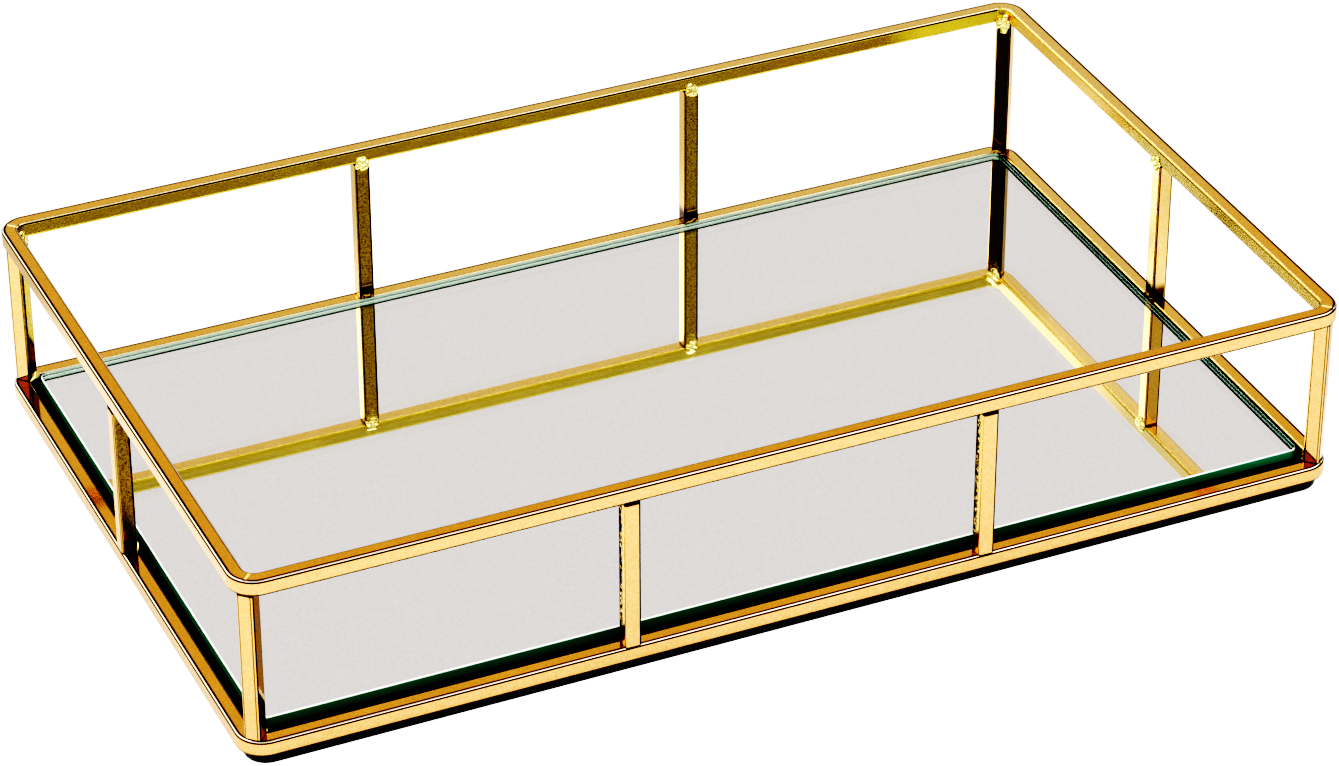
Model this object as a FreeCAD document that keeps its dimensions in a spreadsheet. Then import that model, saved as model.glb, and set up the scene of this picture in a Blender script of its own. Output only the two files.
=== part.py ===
"""Mirrored vanity tray: a welded frame of square bar around a mirror plate.

The frame stands 310 mm along X and 190 mm along Y. Z is up, and the origin is the middle of the
underside of the base pad, which is the face the tray rests on. Lengths are in millimetres.
"""
import FreeCAD, Part
import Sketcher
import math
import os

Vector = FreeCAD.Vector

# Each driving size is written once, here, and fills one named cell of the sheet.
SIZES = {
    "tray_length": 310.0,           # outside of the frame, along X
    "tray_width": 190.0,            # outside of the frame, along Y
    "bar_size": 4.5,                # side of the square bar that the whole frame is cut from
    "bar_edge_radius": 0.8,         # rounding along the bar's long edges
    "corner_radius": 7.5,           # outside radius of the frame's corners, seen from above
    "post_length": 43.8,            # gap between the bottom frame and the top rim
    "corner_post_inset": 0.8,       # from a corner's outermost point to its post's outer face
    "pad_thickness": 3.2,
    "pad_end_inset": 2.0,           # from the frame's end faces to the pad
    "pad_side_inset": 1.25,         # from the frame's front and back faces to the pad
    "pad_edge_radius": 0.5,
    "board_thickness": 3.0,
    "bead_clearance": 0.4,          # between the weld beads and the backing board
    "tape_thickness": 0.4,
    "tape_width": 12.0,
    "tape_end_margin": 18.0,        # from the ends of the glass to the ends of the tape
    "tape_side_margin": 14.0,       # from the long edges of the glass to the outer tapes
    "silver_thickness": 0.1,
    "glass_thickness": 3.0,
    "glass_end_gap": 2.2,           # from the glass to the end rails
    "glass_side_gap": 3.0,          # from the glass to the front and back rails
    "glass_corner_radius": 2.6,
    "glass_arris": 0.4,             # ground edge of the glass
    "bead_bulge": 0.85,             # how far a weld bead stands out of the post's inner face
    "bead_half_width": 1.4,         # of the round patch that a bead covers on that face
    "foot_bead_lift": 0.4,          # from the joint line up to the middle of a foot's bead
}

# Heights of the faces, from the table up.
RAIL_BOTTOM = "Sizes.pad_thickness"
RAIL_TOP = "(Sizes.pad_thickness + Sizes.bar_size)"
RIM_BOTTOM = "(" + RAIL_TOP + " + Sizes.post_length)"
BOARD_TOP = "(Sizes.pad_thickness + Sizes.board_thickness)"
TAPE_TOP = "(" + BOARD_TOP + " + Sizes.tape_thickness)"
GLASS_BOTTOM = "(" + TAPE_TOP + " + Sizes.silver_thickness)"

# Places in plan, from the middle of the tray.
BAR_CENTRE_X = "(Sizes.tray_length - Sizes.bar_size) / 2"
BAR_CENTRE_Y = "(Sizes.tray_width - Sizes.bar_size) / 2"
INNER_FACE_X = "(Sizes.tray_length / 2 - Sizes.bar_size)"
INNER_FACE_Y = "(Sizes.tray_width / 2 - Sizes.bar_size)"
GLASS_LENGTH = "(Sizes.tray_length - 2 * (Sizes.bar_size + Sizes.glass_end_gap))"
GLASS_WIDTH = "(Sizes.tray_width - 2 * (Sizes.bar_size + Sizes.glass_side_gap))"

# A weld bead is the part of a ball that stands out of a post's inner face.
BEAD_RADIUS = "((Sizes.bead_half_width ^ 2 + Sizes.bead_bulge ^ 2) / (2 * Sizes.bead_bulge))"
BEAD_DEPTH = "(" + BEAD_RADIUS + " - Sizes.bead_bulge)"

# The corner posts are turned by 45 degrees. Down each corner's diagonal, distances run from the
# point where the outer faces would meet, and POST_FACE is where the post's outer face lies. The
# middle of the post, and that of its beads' balls, are given as steps along X and Y.
POST_FACE = "Sizes.corner_radius * (sqrt(2) - 1) + Sizes.corner_post_inset"
POST_STEP = "(" + POST_FACE + " + Sizes.bar_size / 2) / sqrt(2)"
BEAD_STEP = "(" + POST_FACE + " + Sizes.bar_size - " + BEAD_DEPTH + ") / sqrt(2)"
CORNER_POST_X = "(Sizes.tray_length / 2 - " + POST_STEP + ")"
CORNER_POST_Y = "(Sizes.tray_width / 2 - " + POST_STEP + ")"
CORNER_BEAD_X = "(Sizes.tray_length / 2 - " + BEAD_STEP + ")"
CORNER_BEAD_Y = "(Sizes.tray_width / 2 - " + BEAD_STEP + ")"

# The side posts divide each long side into three equal windows.
SIDE_POST_X = CORNER_POST_X + " / 3"

# Each corner's side of the tray along X and Y, and the turn of its post.
CORNERS = {
    "front_left": ("-", "-", 315.0),
    "front_right": ("", "-", 45.0),
    "back_right": ("", "", 135.0),
    "back_left": ("-", "", 225.0),
}

# The posts between the corners: middle of the bar, middle of its inner face, and the same turn.
SIDE_POSTS = {
    "front_left_side_post":
        ("-" + SIDE_POST_X, "-" + BAR_CENTRE_Y, "-" + SIDE_POST_X, "-" + INNER_FACE_Y, 0.0),
    "front_right_side_post":
        (SIDE_POST_X, "-" + BAR_CENTRE_Y, SIDE_POST_X, "-" + INNER_FACE_Y, 0.0),
    "right_end_post":
        (BAR_CENTRE_X, "0", INNER_FACE_X, "0", 90.0),
    "back_right_side_post":
        (SIDE_POST_X, BAR_CENTRE_Y, SIDE_POST_X, INNER_FACE_Y, 180.0),
    "back_left_side_post":
        ("-" + SIDE_POST_X, BAR_CENTRE_Y, "-" + SIDE_POST_X, INNER_FACE_Y, 180.0),
    "left_end_post":
        ("-" + BAR_CENTRE_X, "0", "-" + INNER_FACE_X, "0", 270.0),
}

# The rails of one ring: the turn that takes a front rail to its place, its run and the depth.
RAILS = {
    "front": (0.0, "Sizes.tray_length", "Sizes.tray_width"),
    "right": (90.0, "Sizes.tray_width", "Sizes.tray_length"),
    "back": (180.0, "Sizes.tray_length", "Sizes.tray_width"),
    "left": (270.0, "Sizes.tray_width", "Sizes.tray_length"),
}

# Names for the points of a sketch's lines and arcs, and for the sketch's own axes.
START = 1
END = 2
CENTRE = 3
SKETCH_ORIGIN = -1
VERTICAL_AXIS = -2

FLAT_TOLERANCE = 1e-6

doc = FreeCAD.newDocument("vanity_tray")


def make_sheet():
    """Put the driving sizes in a spreadsheet, one named cell each."""
    sheet = doc.addObject("Spreadsheet::Sheet", "Sizes")
    for row, (alias, value) in enumerate(SIZES.items(), start=1):
        sheet.set("A%d" % row, alias)
        sheet.set("B%d" % row, str(value))
        sheet.setAlias("B%d" % row, alias)
    doc.recompute()


def place(obj, x="0", y="0", z="0", turn=0.0):
    """Turn an object about Z and bind its position to the sheet."""
    obj.Placement = FreeCAD.Placement(Vector(0, 0, 0), FreeCAD.Rotation(Vector(0, 0, 1), turn))
    obj.setExpression("Placement.Base.x", x)
    obj.setExpression("Placement.Base.y", y)
    obj.setExpression("Placement.Base.z", z)


def signed(number):
    """A whole number as an expression can hold it, negative ones in brackets."""
    return "(%d)" % round(number)


def new_body(name):
    """Add a body and a sketch on the body's own ground plane."""
    body = doc.addObject("PartDesign::Body", name)
    body.Label = name
    ground = [plane for plane in body.Origin.OriginFeatures if plane.Role == "XY_Plane"][0]
    sketch = body.newObject("Sketcher::SketchObject", name + "_outline")
    sketch.AttachmentSupport = (ground, [""])
    sketch.MapMode = "FlatFace"
    return body, sketch


def arc(centre, radius, start_degrees, end_degrees):
    """An arc in a sketch's plane, counter-clockwise."""
    circle = Part.Circle(centre, Vector(0, 0, 1), radius)
    return Part.ArcOfCircle(circle, math.radians(start_degrees), math.radians(end_degrees))


def polar(centre, radius, degrees):
    """The point at an angle on a circle."""
    angle = math.radians(degrees)
    return centre + Vector(radius * math.cos(angle), radius * math.sin(angle), 0)


def relate(sketch, kind, *elements):
    """Add a constraint that has no size."""
    sketch.addConstraint(Sketcher.Constraint(kind, *elements))


def dimension(sketch, name, expression, kind, *elements):
    """Add a named dimension, bound to the sheet. The last element is its first value."""
    index = sketch.addConstraint(Sketcher.Constraint(kind, *elements))
    sketch.renameConstraint(index, name)
    sketch.setExpression("Constraints." + name, expression)


def add_pad(body, sketch, height):
    """Raise a sketch into a solid."""
    pad = body.newObject("PartDesign::Pad", body.Name + "_pad")
    pad.Profile = sketch
    pad.setExpression("Length", height)
    sketch.Visibility = False
    doc.recompute()
    return pad


def add_fillet(body, pad, chosen, radius):
    """Round the edges of a pad that a test chooses."""
    fillet = body.newObject("PartDesign::Fillet", body.Name + "_rounding")
    edges = ["Edge%d" % (i + 1) for i, edge in enumerate(pad.Shape.Edges) if chosen(edge)]
    fillet.Base = (pad, edges)
    fillet.setExpression("Radius", radius)
    return fillet


def is_level(edge):
    """Whether an edge lies at one height."""
    return edge.BoundBox.ZLength < FLAT_TOLERANCE


def follows_bar(edge):
    """Whether an edge runs along a rail: a round stretch or a run along X, never a mitre's edge."""
    if not is_level(edge):
        return False
    return isinstance(edge.Curve, Part.Circle) or edge.BoundBox.YLength < FLAT_TOLERANCE


def rounded_rectangle(sketch, length, width, radius):
    """Draw a rounded rectangle about the sketch's origin, with all its sizes bound."""
    half_length = doc.Sizes.evalExpression(length) / 2
    half_width = doc.Sizes.evalExpression(width) / 2
    round_size = doc.Sizes.evalExpression(radius)
    near_x = half_length - round_size
    near_y = half_width - round_size
    sketch.addGeometry([
        Part.LineSegment(Vector(-near_x, -half_width, 0), Vector(near_x, -half_width, 0)),
        arc(Vector(near_x, -near_y, 0), round_size, 270, 360),
        Part.LineSegment(Vector(half_length, -near_y, 0), Vector(half_length, near_y, 0)),
        arc(Vector(near_x, near_y, 0), round_size, 0, 90),
        Part.LineSegment(Vector(near_x, half_width, 0), Vector(-near_x, half_width, 0)),
        arc(Vector(-near_x, near_y, 0), round_size, 90, 180),
        Part.LineSegment(Vector(-half_length, near_y, 0), Vector(-half_length, -near_y, 0)),
        arc(Vector(-near_x, -near_y, 0), round_size, 180, 270),
    ], False)
    bottom, right, top, left = 0, 2, 4, 6
    rounds = (1, 3, 5, 7)
    for element in range(8):
        relate(sketch, "Tangent", element, END, (element + 1) % 8, START)
    for line in (bottom, top):
        relate(sketch, "Horizontal", line)
    for line in (right, left):
        relate(sketch, "Vertical", line)
    for other in rounds[1:]:
        relate(sketch, "Equal", rounds[0], other)
    relate(sketch, "Symmetric", rounds[0], CENTRE, rounds[2], CENTRE, SKETCH_ORIGIN, START)
    dimension(sketch, "corner_round", radius, "Radius", rounds[0], round_size)
    dimension(sketch, "full_length", length, "DistanceX", left, START, right, START,
              2 * half_length)
    dimension(sketch, "full_width", width, "DistanceY", bottom, START, top, START,
              2 * half_width)


def make_slab(name, length, width, radius, thickness, z, edge_radius=None):
    """A flat plate with rounded corners, and rounded top and bottom edges if a radius is given."""
    body, sketch = new_body(name)
    rounded_rectangle(sketch, length, width, radius)
    pad = add_pad(body, sketch, thickness)
    if edge_radius:
        add_fillet(body, pad, is_level, edge_radius)
    place(body, z=z)
    return body


def draw_rail(sketch, run, depth):
    """Draw the plan of a front rail: a straight bar that turns half of each corner.

    The round stretches share a centre with the corner, so the bar keeps its width round the bend,
    and each end is cut square across the bar on the corner's diagonal, where the next rail meets.
    """
    outer_radius = SIZES["corner_radius"]
    inner_radius = outer_radius - SIZES["bar_size"]
    half_straight = doc.Sizes.evalExpression(run) / 2 - outer_radius
    half_depth = doc.Sizes.evalExpression(depth) / 2
    right = Vector(half_straight, outer_radius - half_depth, 0)
    left = Vector(-half_straight, outer_radius - half_depth, 0)
    sketch.addGeometry([
        Part.LineSegment(polar(left, outer_radius, 270), polar(right, outer_radius, 270)),
        arc(right, outer_radius, 270, 315),
        Part.LineSegment(polar(right, outer_radius, 315), polar(right, inner_radius, 315)),
        arc(right, inner_radius, 270, 315),
        Part.LineSegment(polar(right, inner_radius, 270), polar(left, inner_radius, 270)),
        arc(left, inner_radius, 225, 270),
        Part.LineSegment(polar(left, inner_radius, 225), polar(left, outer_radius, 225)),
        arc(left, outer_radius, 225, 270),
    ], False)
    outer, outer_right, mitre_right, inner_right = 0, 1, 2, 3
    inner, inner_left, mitre_left, outer_left = 4, 5, 6, 7
    relate(sketch, "Tangent", outer, END, outer_right, START)
    relate(sketch, "Tangent", outer, START, outer_left, END)
    relate(sketch, "Tangent", inner, START, inner_right, START)
    relate(sketch, "Tangent", inner, END, inner_left, END)
    relate(sketch, "Coincident", outer_right, END, mitre_right, START)
    relate(sketch, "Coincident", mitre_right, END, inner_right, END)
    relate(sketch, "Coincident", inner_left, START, mitre_left, START)
    relate(sketch, "Coincident", mitre_left, END, outer_left, START)
    relate(sketch, "Coincident", outer_right, CENTRE, inner_right, CENTRE)
    relate(sketch, "Coincident", outer_left, CENTRE, inner_left, CENTRE)
    relate(sketch, "Symmetric", outer, START, outer, END, VERTICAL_AXIS)
    relate(sketch, "Horizontal", inner)
    relate(sketch, "PointOnObject", outer_right, CENTRE, mitre_right)
    relate(sketch, "PointOnObject", outer_left, CENTRE, mitre_left)
    relate(sketch, "Angle", mitre_right, math.radians(135))
    relate(sketch, "Angle", mitre_left, math.radians(225))
    relate(sketch, "Equal", outer_right, outer_left)
    dimension(sketch, "outer_round", "Sizes.corner_radius", "Radius", outer_right, outer_radius)
    dimension(sketch, "inner_round", "Sizes.corner_radius - Sizes.bar_size", "Radius",
              inner_right, inner_radius)
    dimension(sketch, "outer_face", depth + " / 2", "DistanceY", outer, START,
              SKETCH_ORIGIN, START, half_depth)
    dimension(sketch, "straight_run", run + " - 2 * Sizes.corner_radius", "DistanceX",
              outer, START, outer, END, 2 * half_straight)


def make_rail(name, turn, run, depth, z):
    """One rail of a ring, with its long edges rounded."""
    body, sketch = new_body(name)
    draw_rail(sketch, run, depth)
    pad = add_pad(body, sketch, "Sizes.bar_size")
    add_fillet(body, pad, follows_bar, "Sizes.bar_edge_radius")
    place(body, z=z, turn=turn)
    return body


def make_rails():
    """The bottom frame and the top rim, four mitred rails each."""
    rings = {"bottom": RAIL_BOTTOM, "top": RIM_BOTTOM}
    return {ring: [make_rail(ring + "_" + side + "_rail", turn, run, depth, z)
                   for side, (turn, run, depth) in RAILS.items()]
            for ring, z in rings.items()}


def make_post(name, x, y, turn):
    """One upright cut square from the bar, standing on the bottom frame."""
    body, sketch = new_body(name)
    rounded_rectangle(sketch, "Sizes.bar_size", "Sizes.bar_size", "Sizes.bar_edge_radius")
    add_pad(body, sketch, "Sizes.post_length")
    place(body, x, y, RAIL_TOP, turn)
    return body


def make_posts():
    """All ten uprights. Returns the four at the corners."""
    for name, (x, y, _, _, turn) in SIDE_POSTS.items():
        make_post(name, x, y, turn)
    return [make_post(corner + "_corner_post", side_x + CORNER_POST_X, side_y + CORNER_POST_Y, turn)
            for corner, (side_x, side_y, turn) in CORNERS.items()]


def make_side_bead(name, x, y, z, turn):
    """A bead that lies on the inner face that a post shares with a straight rail."""
    bead = doc.addObject("Part::Sphere", name)
    bead.setExpression("Radius", BEAD_RADIUS)
    bead.setExpression("Angle1", "asin(" + BEAD_DEPTH + " / " + BEAD_RADIUS + ")")
    back = BEAD_DEPTH + " * "
    outward = FreeCAD.Rotation(Vector(0, 0, 1), turn).multVec(Vector(0, -1, 0))
    place(bead, x + " + " + back + signed(outward.x), y + " + " + back + signed(outward.y), z)
    inward = FreeCAD.Rotation(Vector(0, 0, 1), -outward)
    bead.Placement = FreeCAD.Placement(bead.Placement.Base, inward)
    return bead


def make_corner_ball(name, x, y, z):
    """The ball that a corner's bead is cut from."""
    ball = doc.addObject("Part::Sphere", name)
    ball.setExpression("Radius", BEAD_RADIUS)
    place(ball, x, y, z)
    return ball


def make_weld_beads(ring, z, corner_bars):
    """The weld beads of one ring, where the posts meet it on the inside.

    In a corner the post stands proud of the bend, so the bead there is a whole ball cut back to
    the corner's bars, which leaves it filling the step between them.
    """
    side_beads = doc.addObject("Part::Compound", ring + "_side_weld_beads")
    side_beads.Links = [make_side_bead(ring + "_" + name + "_bead", x, y, z, turn)
                        for name, (_, _, x, y, turn) in SIDE_POSTS.items()]
    balls = doc.addObject("Part::Compound", ring + "_corner_balls")
    balls.Links = [make_corner_ball(ring + "_" + corner + "_ball", side_x + CORNER_BEAD_X,
                                    side_y + CORNER_BEAD_Y, z)
                   for corner, (side_x, side_y, _) in CORNERS.items()]
    joined_bars = doc.addObject("Part::MultiFuse", ring + "_corner_bars")
    joined_bars.Shapes = corner_bars
    corner_beads = doc.addObject("Part::Cut", ring + "_corner_weld_beads")
    corner_beads.Base = balls
    corner_beads.Tool = joined_bars
    return [side_beads, corner_beads]


def make_base_pad():
    """The soft pad under the frame, a little smaller than the frame, with the same corners."""
    return make_slab(
        "base_pad",
        "(Sizes.tray_length - 2 * Sizes.pad_end_inset)",
        "(Sizes.tray_width - 2 * Sizes.pad_side_inset)",
        "(Sizes.corner_radius - Sizes.pad_side_inset)",
        "Sizes.pad_thickness", "0", "Sizes.pad_edge_radius")


def make_backing_board():
    """The board that fills the bottom frame on top of the pad and carries the mirror."""
    gap = "(Sizes.bead_bulge + Sizes.bead_clearance)"
    return make_slab(
        "backing_board",
        "(2 * (" + INNER_FACE_X + " - " + gap + "))",
        "(2 * (" + INNER_FACE_Y + " - " + gap + "))",
        "(Sizes.corner_radius - Sizes.bar_size)",
        "Sizes.board_thickness", RAIL_BOTTOM)


def make_mirror():
    """The glass plate and, on its underside, the silvering with its paint."""
    make_slab("mirror_silvering", GLASS_LENGTH, GLASS_WIDTH, "Sizes.glass_corner_radius",
              "Sizes.silver_thickness", TAPE_TOP)
    make_slab("mirror_glass", GLASS_LENGTH, GLASS_WIDTH, "Sizes.glass_corner_radius",
              "Sizes.glass_thickness", GLASS_BOTTOM, "Sizes.glass_arris")


def make_tape():
    """Three strips of double-sided tape that hold the mirror down on the board."""
    length = "(" + GLASS_LENGTH + " - 2 * Sizes.tape_end_margin)"
    outer_y = "(" + GLASS_WIDTH + " / 2 - Sizes.tape_side_margin - Sizes.tape_width / 2)"
    middles = {"front": "-" + outer_y, "middle": "0", "back": outer_y}
    strips = []
    for side, middle in middles.items():
        strip = doc.addObject("Part::Box", "tape_" + side)
        strip.setExpression("Length", length)
        strip.setExpression("Width", "Sizes.tape_width")
        strip.setExpression("Height", "Sizes.tape_thickness")
        place(strip, "-" + length + " / 2", middle + " - Sizes.tape_width / 2", BOARD_TOP)
        strips.append(strip)
    tape = doc.addObject("Part::Compound", "mirror_tape")
    tape.Label = "mirror_tape"
    tape.Links = strips
    return tape


def check(sub_parts):
    """Stop if a sketch or feature failed, or if a sub-part has no sound shape."""
    for obj in doc.Objects:
        if "Invalid" in obj.State or "Error" in obj.State:
            raise RuntimeError("%s did not compute: %s" % (obj.Name, obj.State))
        if obj.isDerivedFrom("Sketcher::SketchObject") and not obj.FullyConstrained:
            raise RuntimeError(obj.Name + " is not fully constrained")
    for part in sub_parts:
        if part.Shape.isNull() or not part.Shape.isValid() or not part.Shape.Solids:
            raise RuntimeError(part.Label + " has no valid solid")


def main():
    make_sheet()
    rings = make_rails()
    corner_posts = make_posts()
    make_base_pad()
    make_backing_board()
    beads = make_weld_beads("foot", RAIL_TOP + " + Sizes.foot_bead_lift",
                            rings["bottom"] + corner_posts)
    beads += make_weld_beads("rim", RIM_BOTTOM, rings["top"] + corner_posts)
    tape = make_tape()
    make_mirror()
    doc.recompute()

    bodies = [obj for obj in doc.Objects if obj.TypeId == "PartDesign::Body"]
    sub_parts = bodies + beads + [tape]
    check(sub_parts)
    os.makedirs("parts", exist_ok=True)
    for part in sub_parts:
        part.Shape.exportStep(os.path.join("parts", part.Label + ".step"))
        print("%-26s %d solid(s) %10.1f mm3" % (part.Label, len(part.Shape.Solids),
                                                part.Shape.Volume))


main()
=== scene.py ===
"""Looks for the mirrored vanity tray: polished gold bar, silvered glass, weld beads and a foam pad."""
import math

import bmesh
import bpy
from mathutils import Matrix, Vector, noise


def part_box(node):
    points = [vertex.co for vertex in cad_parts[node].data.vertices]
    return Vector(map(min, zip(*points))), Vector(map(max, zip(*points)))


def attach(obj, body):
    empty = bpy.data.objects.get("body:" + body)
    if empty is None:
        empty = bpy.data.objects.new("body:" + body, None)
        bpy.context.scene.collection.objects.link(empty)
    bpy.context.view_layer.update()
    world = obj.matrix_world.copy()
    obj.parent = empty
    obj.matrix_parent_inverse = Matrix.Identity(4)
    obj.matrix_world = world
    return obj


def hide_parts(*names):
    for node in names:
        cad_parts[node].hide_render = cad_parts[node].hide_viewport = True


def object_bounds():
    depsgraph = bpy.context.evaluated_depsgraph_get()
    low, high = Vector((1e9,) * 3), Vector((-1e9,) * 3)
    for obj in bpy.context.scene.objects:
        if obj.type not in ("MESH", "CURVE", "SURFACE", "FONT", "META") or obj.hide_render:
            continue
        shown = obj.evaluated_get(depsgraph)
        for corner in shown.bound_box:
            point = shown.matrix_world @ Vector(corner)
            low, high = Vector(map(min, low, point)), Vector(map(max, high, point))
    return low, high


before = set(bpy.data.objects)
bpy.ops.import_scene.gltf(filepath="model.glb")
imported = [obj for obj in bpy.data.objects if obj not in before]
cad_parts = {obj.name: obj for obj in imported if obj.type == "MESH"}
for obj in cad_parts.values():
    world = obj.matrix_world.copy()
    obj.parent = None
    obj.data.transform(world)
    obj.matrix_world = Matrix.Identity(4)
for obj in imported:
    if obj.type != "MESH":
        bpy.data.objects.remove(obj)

CAD_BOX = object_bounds()
MM = 0.001
BAR_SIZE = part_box("top_front_rail")[1].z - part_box("top_front_rail")[0].z

RAILS = [ring + "_" + side + "_rail" for ring in ("bottom", "top")
         for side in ("front", "right", "back", "left")]
SIDE_POSTS = ["front_left_side_post", "front_right_side_post", "right_end_post",
              "back_right_side_post", "back_left_side_post", "left_end_post"]
CORNER_POSTS = [name + "_corner_post"
                for name in ("front_left", "front_right", "back_right", "back_left")]


# ---------------------------------------------------------------- node helpers

class Nodes:
    """A small builder for a node tree: add nodes, and link sockets by name."""

    def __init__(self, tree):
        self.tree = tree
        tree.nodes.clear()

    def add(self, kind, **settings):
        node = self.tree.nodes.new(kind)
        for name, value in settings.items():
            setattr(node, name, value)
        return node

    def link(self, source, target):
        self.tree.links.new(source, target)

    def feed(self, socket, value):
        """Set a socket to a number or colour, or link it to another socket."""
        if isinstance(value, bpy.types.NodeSocket):
            self.link(value, socket)
        else:
            socket.default_value = value

    def split(self, vector):
        """The X, Y and Z outputs of a vector."""
        axes = self.add("ShaderNodeSeparateXYZ")
        self.link(vector, axes.inputs[0])
        return axes.outputs["X"], axes.outputs["Y"], axes.outputs["Z"]

    def maths(self, operation, first, second=0.0):
        node = self.add("ShaderNodeMath", operation=operation)
        self.feed(node.inputs[0], first)
        self.feed(node.inputs[1], second)
        return node.outputs[0]

    def product(self, first, *others):
        """Several numbers multiplied together."""
        for other in others:
            first = self.maths("MULTIPLY", first, other)
        return first

    def unsigned(self, value):
        """A number without its sign."""
        return self.maths("ABSOLUTE", value)

    def reverse(self, share):
        """One minus a share."""
        return self.maths("SUBTRACT", 1.0, share)

    def remap(self, value, low, high, to_low=0.0, to_high=1.0):
        """A smooth step from to_low, where the value is low, to to_high, where it is high."""
        node = self.add("ShaderNodeMapRange", interpolation_type="SMOOTHSTEP")
        self.feed(node.inputs["Value"], value)
        for name, number in (("From Min", low), ("From Max", high),
                             ("To Min", to_low), ("To Max", to_high)):
            self.feed(node.inputs[name], number)
        return node.outputs["Result"]

    def remap_evenly(self, value, low, high):
        """A number from 0 at low to 1 at high."""
        return self.maths("DIVIDE", self.maths("SUBTRACT", value, low), high - low)

    def noise(self, where, size_mm, detail=2.0, roughness=0.5, stretch=(1, 1, 1)):
        """Fractal noise whose features are about size_mm across, as a number from 0 to 1."""
        mapping = self.add("ShaderNodeMapping")
        mapping.inputs["Scale"].default_value = stretch
        self.link(where, mapping.inputs["Vector"])
        node = self.add("ShaderNodeTexNoise")
        self.link(mapping.outputs["Vector"], node.inputs["Vector"])
        node.inputs["Scale"].default_value = 1 / (size_mm * MM)
        node.inputs["Detail"].default_value = detail
        node.inputs["Roughness"].default_value = roughness
        return node.outputs["Fac"]

    def colours(self, value, *stops):
        """A colour ramp: each stop is a place from 0 to 1 and a linear colour."""
        node = self.add("ShaderNodeValToRGB")
        ramp = node.color_ramp
        while len(ramp.elements) < len(stops):
            ramp.elements.new(0.5)
        for element, (place, colour) in zip(ramp.elements, stops):
            element.position = place
            element.color = (*colour, 1.0)
        self.link(value, node.inputs["Fac"])
        return node.outputs["Color"]

    def greys(self, value, steps):
        """A colour ramp whose stops are places and grey levels."""
        return self.colours(value, *[(place, (level, level, level)) for place, level in steps])

    def blend(self, factor, first, second):
        """A colour between two colours."""
        node = self.add("ShaderNodeMix", data_type="RGBA")
        colour_inputs = [socket for socket in node.inputs if socket.type == "RGBA"]
        self.feed(node.inputs["Factor"], factor)
        for socket, colour in zip(colour_inputs, (first, second)):
            self.feed(socket, colour if isinstance(colour, bpy.types.NodeSocket) else (*colour, 1.0))
        return [socket for socket in node.outputs if socket.type == "RGBA"][0]

    def tint(self, colour, factor):
        """A colour times a number or another colour."""
        node = self.add("ShaderNodeVectorMath", operation="MULTIPLY")
        self.feed(node.inputs[0], colour)
        self.feed(node.inputs[1], factor)
        return node.outputs["Vector"]

    def tint_part(self, part, colour, factor):
        """A colour times another colour, in one part of the surface."""
        return self.tint(colour, self.blend(part, WHITE, factor))

    def bump(self, height, depth_mm, normal=None):
        node = self.add("ShaderNodeBump")
        node.inputs["Strength"].default_value = 1.0
        node.inputs["Distance"].default_value = depth_mm * MM
        self.link(height, node.inputs["Height"])
        if normal is not None:
            self.link(normal, node.inputs["Normal"])
        return node.outputs["Normal"]


def new_material(name):
    """A material with a Principled shader. Returns it, its node builder, shader and position."""
    material = bpy.data.materials.new(name)
    material.use_nodes = True
    nodes = Nodes(material.node_tree)
    shader = nodes.add("ShaderNodeBsdfPrincipled")
    output = nodes.add("ShaderNodeOutputMaterial")
    nodes.link(shader.outputs["BSDF"], output.inputs["Surface"])
    where = nodes.add("ShaderNodeTexCoord").outputs["Object"]
    return material, nodes, shader, where


class Spot:
    """Where a point of a bar lies, and how far its surface faces right, back, up and outward.

    Outward is the place times the direction, in metres: it is below zero on an inner face.
    """

    def __init__(self, nodes, where):
        self.across, self.along, self.height = nodes.split(where)
        normal = nodes.add("ShaderNodeTexCoord").outputs["Normal"]
        self.right, self.back, self.up = nodes.split(normal)
        self.outward = nodes.maths("ADD", nodes.product(self.across, self.right),
                                   nodes.product(self.along, self.back))


# --------------------------------------------------------------- gold materials
#
# Most pairs of numbers say where a finish starts and where it is complete. FACING and TURNING pairs
# are parts of the surface's direction, INNER_SIDE and TURNED_IN pairs are values of Spot.outward,
# LEVELS pairs are levels of a noise, and the others are places, in metres from the tray's middle.
# ROUGHNESS pairs are the least and the most roughness.

WHITE = (1.0, 1.0, 1.0)
NOISE_LEVELS = (0.3, 0.8)

# The plate's darker and lighter tones, at the near left and far right of the tray and on the beads.
NEAR_GOLD = ((0.34, (0.71, 0.40, 0.155)), (0.66, (0.90, 0.54, 0.255)))
FAR_GOLD = ((0.34, (0.76, 0.49, 0.195)), (0.66, (0.94, 0.64, 0.31)))
BEAD_GOLD = ((0.30, (0.92, 0.74, 0.26)), (0.70, (0.98, 0.86, 0.38)))
EVEN_GOLD = (0.85, 0.56, 0.25)

# The far right starts where Y plus this share of X reaches the first of these places.
FAR_LEAN = 0.45
FAR_PLACES = (-0.05, 0.12)

PEEL_DEPTH_MM = 0.004
GRAIN_DEPTH_MM = 0.0045
SPECKLE_LEVELS = (0.52, 0.40)
SPECKLE_SHADE = (0.74, 0.70, 0.60)

FACING_UP = (0.985, 0.995)
FACING_DOWN = (0.0, -0.05)
FACING_LEFT = (-0.5, -0.9)
FACING_FRONT = (-0.4, -0.7)
FACING_FRONT_SQUARELY = (-0.9, -0.97)
TURNING_INWARD = (-0.05, -0.15)

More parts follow.
